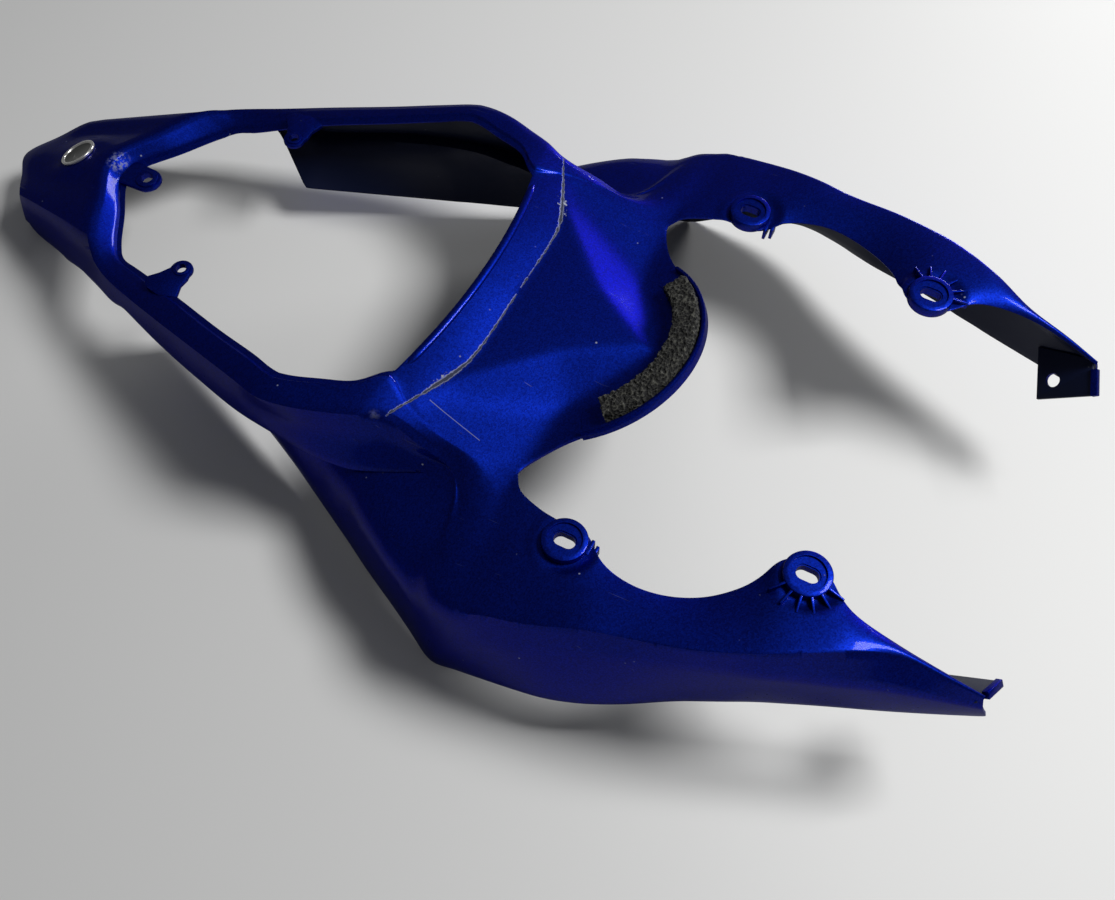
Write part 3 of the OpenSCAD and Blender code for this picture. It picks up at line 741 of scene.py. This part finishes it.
TAB = 3.0
side_centre = (-160, 61.5)
side_tab = prism(
    "side_tab",
    [(-176.5, 76.5), (-170.5, 69.5), (-167, 63.5)]
    + arc_points(side_centre, 7.0, math.pi + 0.05, 2 * math.pi + 0.25, 14)
    + [(-152.5, 66), (-153, 72), (-150, 80.5), (-160, 84), (-172, 82)],
    82 - TAB, 82, 0.7,
)
middle_centre = (-240, 0)
middle_tab = prism(
    "middle_tab",
    [(-258, 10.5), (-258, -10.5), (-249, -9.6)]
    + arc_points(middle_centre, 9.2, -math.pi / 2, math.pi / 2, 20)
    + [(-249, 9.6)],
    63 - TAB, 63, 0.7,
)
middle_ring = prism("middle_ring", round_outline(middle_centre, 7.2), 62, 64.4, 0.6)
bodies += [side_tab, other_side(side_tab), middle_tab]
details.append(middle_ring)
side_ring = prism("side_ring", round_outline(side_centre, 5.2), 81, 82.8, 0.4)
details += [side_ring, other_side(side_ring)]
side_hole = prism("side_hole", round_outline(side_centre, 3.25), 70, 90, 0)
cut_out += [side_hole, other_side(side_hole)]
cut_out.append(prism("middle_hole", round_outline(middle_centre, 4.0), 50, 72, 0))

tip_place = (
    Matrix.Translation(Vector((332.6, 92.8, 72)) * MM)
    @ Matrix.Rotation(math.radians(-40.8), 4, "Y")
    @ Matrix.Rotation(math.radians(33.5), 4, "X")
)
tip_flange = prism(
    "tip_flange", [(-1.5, 0), (31.5, 0), (30, 21), (-1, 31)], -2.5, 0, 0.4, tip_place, inside_plastic
)
tip_rib = prism("tip_rib", [(29.8, -0.3), (33.4, 0), (33.4, 15), (29.8, 15)], -3.0, 0.9, 0.3, tip_place)
bodies += [tip_flange, other_side(tip_flange)]
details += [tip_rib, other_side(tip_rib)]
tip_hole = prism("tip_hole", round_outline((8, 10.5), 4.0), -10, 10, 0, tip_place)
cut_out += [tip_hole, other_side(tip_hole)]

lip_place = Matrix.Translation(Vector(LIP_CENTRE) * MM) @ Matrix.Rotation(-LIP_TILT, 4, "Y")


def close_tube():
    """Merge the seam of the grid rolled into a tube, cap both ends and turn the faces outward."""
    bpy.ops.object.mode_set(mode="EDIT")
    bpy.ops.mesh.select_all(action="SELECT")
    bpy.ops.mesh.remove_doubles(threshold=0.00001)
    bpy.ops.mesh.fill_holes(sides=0)
    bpy.ops.mesh.select_all(action="SELECT")
    bpy.ops.mesh.normals_make_consistent(inside=False)
    bpy.ops.object.mode_set(mode="OBJECT")


def swept_arc(name, profile, half_angle, steps):
    """A closed profile of (radius, height) points drawn along the lip's arc, with capped ends."""
    count = len(profile)

    def place_point(row, col):
        angle = -half_angle + 2 * half_angle * row / steps
        radius, height = profile[col % count]
        return Vector((radius * math.cos(angle), radius * math.sin(angle), height)) * MM

    piece, _ = shaped_grid(name, steps, count, place_point)
    close_tube()
    piece.data.transform(lip_place)
    return piece


LIP_T, LIP_H = 2.2, 3.0
lip_in, lip_foot = LIP_R - LIP_T, LIP_R - 16
lip_profile = [
    (LIP_R, -4), (LIP_R, LIP_H - 0.8), (LIP_R - 0.3, LIP_H - 0.2), (LIP_R - LIP_T / 2, LIP_H),
    (lip_in + 0.3, LIP_H - 0.2), (lip_in, LIP_H - 0.8), (lip_in, 0), (lip_foot, 0), (lip_foot, -4),
]
lip = swept_arc("lip", lip_profile, LIP_HALF, 72)
lip.data.materials.append(paint)
bodies.append(lip)

# the opening's front edge is rolled over into a thin bead, which fades out at both corners
BEAD_W, BEAD_H = 2.6, 1.6
bead_steps, bead_sides = len(opening_edge) - 1, 16


def bead_point(row, col):
    size = 0.15 + 0.85 * settle(min(row, bead_steps - row) / 6.0)
    turn = 2 * math.pi * col / bead_sides
    middle = opening_edge[row] + Vector((2.3, 0, 1.1 * size - 1.6)) * MM
    return middle + Vector((BEAD_W * math.cos(turn), 0, BEAD_H * math.sin(turn))) * size * MM


bead, _ = shaped_grid("rolled_edge", bead_steps, bead_sides, bead_point)
close_tube()
bead.data.materials.append(paint)
details.append(bead)
fuse(shell, bodies, "UNION")
fuse(shell, details, "UNION")
fuse(shell, dishes, "DIFFERENCE")
fuse(shell, mouths, "DIFFERENCE")
fuse(shell, cut_out, "DIFFERENCE")
bpy.ops.object.select_all(action="DESELECT")
shell.select_set(True)
bpy.context.view_layer.objects.active = shell
bpy.ops.object.shade_smooth_by_angle(angle=math.radians(32))
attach(shell, "root")
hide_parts("tail_shell")


# Foam strip: coarse open-cell black foam with an adhesive back, cut to the lip's arc and stuck
# behind it, where the front of the rider's seat presses on it.
FOAM_W, FOAM_T, FOAM_HALF = 15.0, 8.0, math.radians(52)
FOAM_GAP, FOAM_ROUND = 1.0, 1.6
foam_out = LIP_R - LIP_T - FOAM_GAP
foam_in = foam_out - FOAM_W


def foam_profile(across=20, up=11):
    """A rectangle with its two top corners rounded."""
    corners = []
    for i in range(across):
        corners.append((foam_in + FOAM_W * i / across, 0.0))
    for i in range(up):
        corners.append((foam_out, FOAM_T * i / up))
    for i in range(across):
        corners.append((foam_out - FOAM_W * i / across, FOAM_T))
    for i in range(up):
        corners.append((foam_in, FOAM_T * (1 - i / up)))
    rounded = []
    for radius, height in corners:
        edge = min(radius - foam_in, foam_out - radius)
        if height > FOAM_T - FOAM_ROUND and edge < FOAM_ROUND:
            dx, dz = FOAM_ROUND - edge, height - (FOAM_T - FOAM_ROUND)
            draw_in = min(1.0, FOAM_ROUND / math.hypot(dx, dz))
            dx, dz = dx * draw_in, dz * draw_in
            height = FOAM_T - FOAM_ROUND + dz
            inner = radius < (foam_in + foam_out) / 2
            radius = foam_in + FOAM_ROUND - dx if inner else foam_out - FOAM_ROUND + dx
        rounded.append((radius, height))
    return rounded


foam = swept_arc("foam_strip_visual", foam_profile(), FOAM_HALF, 150)
cells_texture = bpy.data.textures.new("foam cells", "CLOUDS")
cells_texture.noise_scale = 0.0020
cells_texture.noise_depth = 2
pores = foam.modifiers.new("pores", "DISPLACE")
pores.texture = cells_texture
pores.strength = 0.0030
pores.mid_level = 0.62
apply_all(foam)
foam_black = bpy.data.materials.new("coarse black foam")
foam_black.use_nodes = True
nodes, links = foam_black.node_tree.nodes, foam_black.node_tree.links
spongy = nodes["Principled BSDF"]
spongy.inputs["Roughness"].default_value = 0.9
place = nodes.new("ShaderNodeTexCoord")
cells = nodes.new("ShaderNodeTexVoronoi")
cells.inputs["Scale"].default_value = 560.0
links.new(place.outputs["Object"], cells.inputs["Vector"])
tone = ramp(nodes, links, cells.outputs["Distance"], 0.50, 0.80)
black = colour_mix(nodes, links, tone, (0.003, 0.003, 0.003), (0.055, 0.055, 0.046))
links.new(black, spongy.inputs["Base Color"])
rough = nodes.new("ShaderNodeBump")
rough.inputs["Distance"].default_value = 0.0012
rough.inputs["Strength"].default_value = 0.9
links.new(cells.outputs["Distance"], rough.inputs["Height"])
links.new(rough.outputs["Normal"], spongy.inputs["Normal"])
foam.data.materials.append(foam_black)
bpy.ops.object.shade_smooth_by_angle(angle=math.radians(60))
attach(foam, "root")
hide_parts("foam_strip")


# Badge: a round stick-on plate of bright metal with a raised silver rim and a dark sunk face,
# glued to the small flat on the tail's top.
BADGE_R, BADGE_T, RIM = 12.5, 1.8, 2.0
badge_place = Matrix.Translation(BADGE_AT) @ Matrix.Rotation(-BADGE_TILT, 4, "Y")
bpy.ops.object.select_all(action="DESELECT")
bpy.ops.mesh.primitive_cylinder_add(
    vertices=96, radius=BADGE_R * MM, depth=BADGE_T * MM, location=(0, 0, BADGE_T * MM / 2)
)
badge = bpy.context.object
badge.name = badge.data.name = "badge_visual"
bpy.ops.object.transform_apply(location=True, rotation=False, scale=False)
bpy.ops.object.mode_set(mode="EDIT")
bpy.ops.mesh.select_all(action="DESELECT")
bpy.ops.object.mode_set(mode="OBJECT")
for face in badge.data.polygons:
    face.select = face.normal.z > 0.9
bpy.ops.object.mode_set(mode="EDIT")
bpy.ops.mesh.inset(thickness=RIM * MM)
bpy.ops.mesh.extrude_region_move(TRANSFORM_OT_translate={"value": (0, 0, -BADGE_T / 2 * MM)})
bpy.ops.object.mode_set(mode="OBJECT")
silver = bpy.data.materials.new("badge silver")
silver.use_nodes = True
bright = silver.node_tree.nodes["Principled BSDF"]
bright.inputs["Base Color"].default_value = (0.72, 0.71, 0.69, 1.0)
bright.inputs["Metallic"].default_value = 0.9
bright.inputs["Roughness"].default_value = 0.28
dark_face = bpy.data.materials.new("badge dark face")
dark_face.use_nodes = True
dark = dark_face.node_tree.nodes["Principled BSDF"]
dark.inputs["Base Color"].default_value = (0.035, 0.036, 0.035, 1.0)
dark.inputs["Roughness"].default_value = 0.35
badge.data.materials.append(silver)
badge.data.materials.append(dark_face)
for face in badge.data.polygons:
    flat_in = face.normal.z > 0.9 and Vector(face.center[:2]).length < (BADGE_R - RIM) * MM * 0.9
    face.material_index = 1 if flat_in else 0
rim_edge = badge.modifiers.new("soft_rim", "BEVEL")
rim_edge.width = 0.0004
rim_edge.segments = 3
rim_edge.limit_method = "ANGLE"
apply_all(badge)
badge.data.transform(badge_place)
bpy.ops.object.shade_smooth_by_angle(angle=math.radians(35))
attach(badge, "root")
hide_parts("badge")


# Table, light and camera: a plain pale table, a soft lamp high at the front on the far side as
# the window is in the photograph, a long low one from the far side, and the photograph's viewpoint.
bpy.ops.object.select_all(action="DESELECT")
bpy.ops.mesh.primitive_plane_add(size=8.0, location=(0, 0, 0))
table = bpy.context.object
table.name = "table"
pale = bpy.data.materials.new("pale table")
pale.use_nodes = True
pale.node_tree.nodes["Principled BSDF"].inputs["Base Color"].default_value = (0.70, 0.70, 0.69, 1.0)
pale.node_tree.nodes["Principled BSDF"].inputs["Roughness"].default_value = 0.6
table.data.materials.append(pale)


def soft_lamp(name, at, towards, size, power):
    data = bpy.data.lights.new(name, "AREA")
    data.shape = "RECTANGLE"
    data.size, data.size_y = size
    data.energy = power
    lamp = bpy.data.objects.new(name, data)
    bpy.context.collection.objects.link(lamp)
    lamp.location = at
    lamp.rotation_euler = (Vector(towards) - Vector(at)).to_track_quat("-Z", "Y").to_euler()


soft_lamp("window", (0.88, 0.42, 1.40), (0.0, 0.0, 0.05), (0.50, 0.50), 25.0)
soft_lamp("far_fill", (0.35, 2.3, 0.38), (0.05, 0.0, 0.10), (0.9, 0.35), 30.0)

world = bpy.data.worlds.new("studio")
bpy.context.scene.world = world
world.use_nodes = True
sky = world.node_tree.nodes["Background"]
sky.inputs["Color"].default_value = (0.93, 0.95, 1.0, 1.0)
sky.inputs["Strength"].default_value = 0.11

lens = bpy.data.cameras.new("camera")
lens.sensor_fit = "HORIZONTAL"
lens.sensor_width = 36.0
lens.lens = 37.13
camera = bpy.data.objects.new("camera", lens)
bpy.context.collection.objects.link(camera)
camera.location = (0.2491, -0.3550, 0.6339)
camera.rotation_euler = (math.radians(30.12), 0.0, math.radians(27.2))
bpy.context.scene.camera = camera
bpy.context.scene.view_settings.view_transform = "Standard"
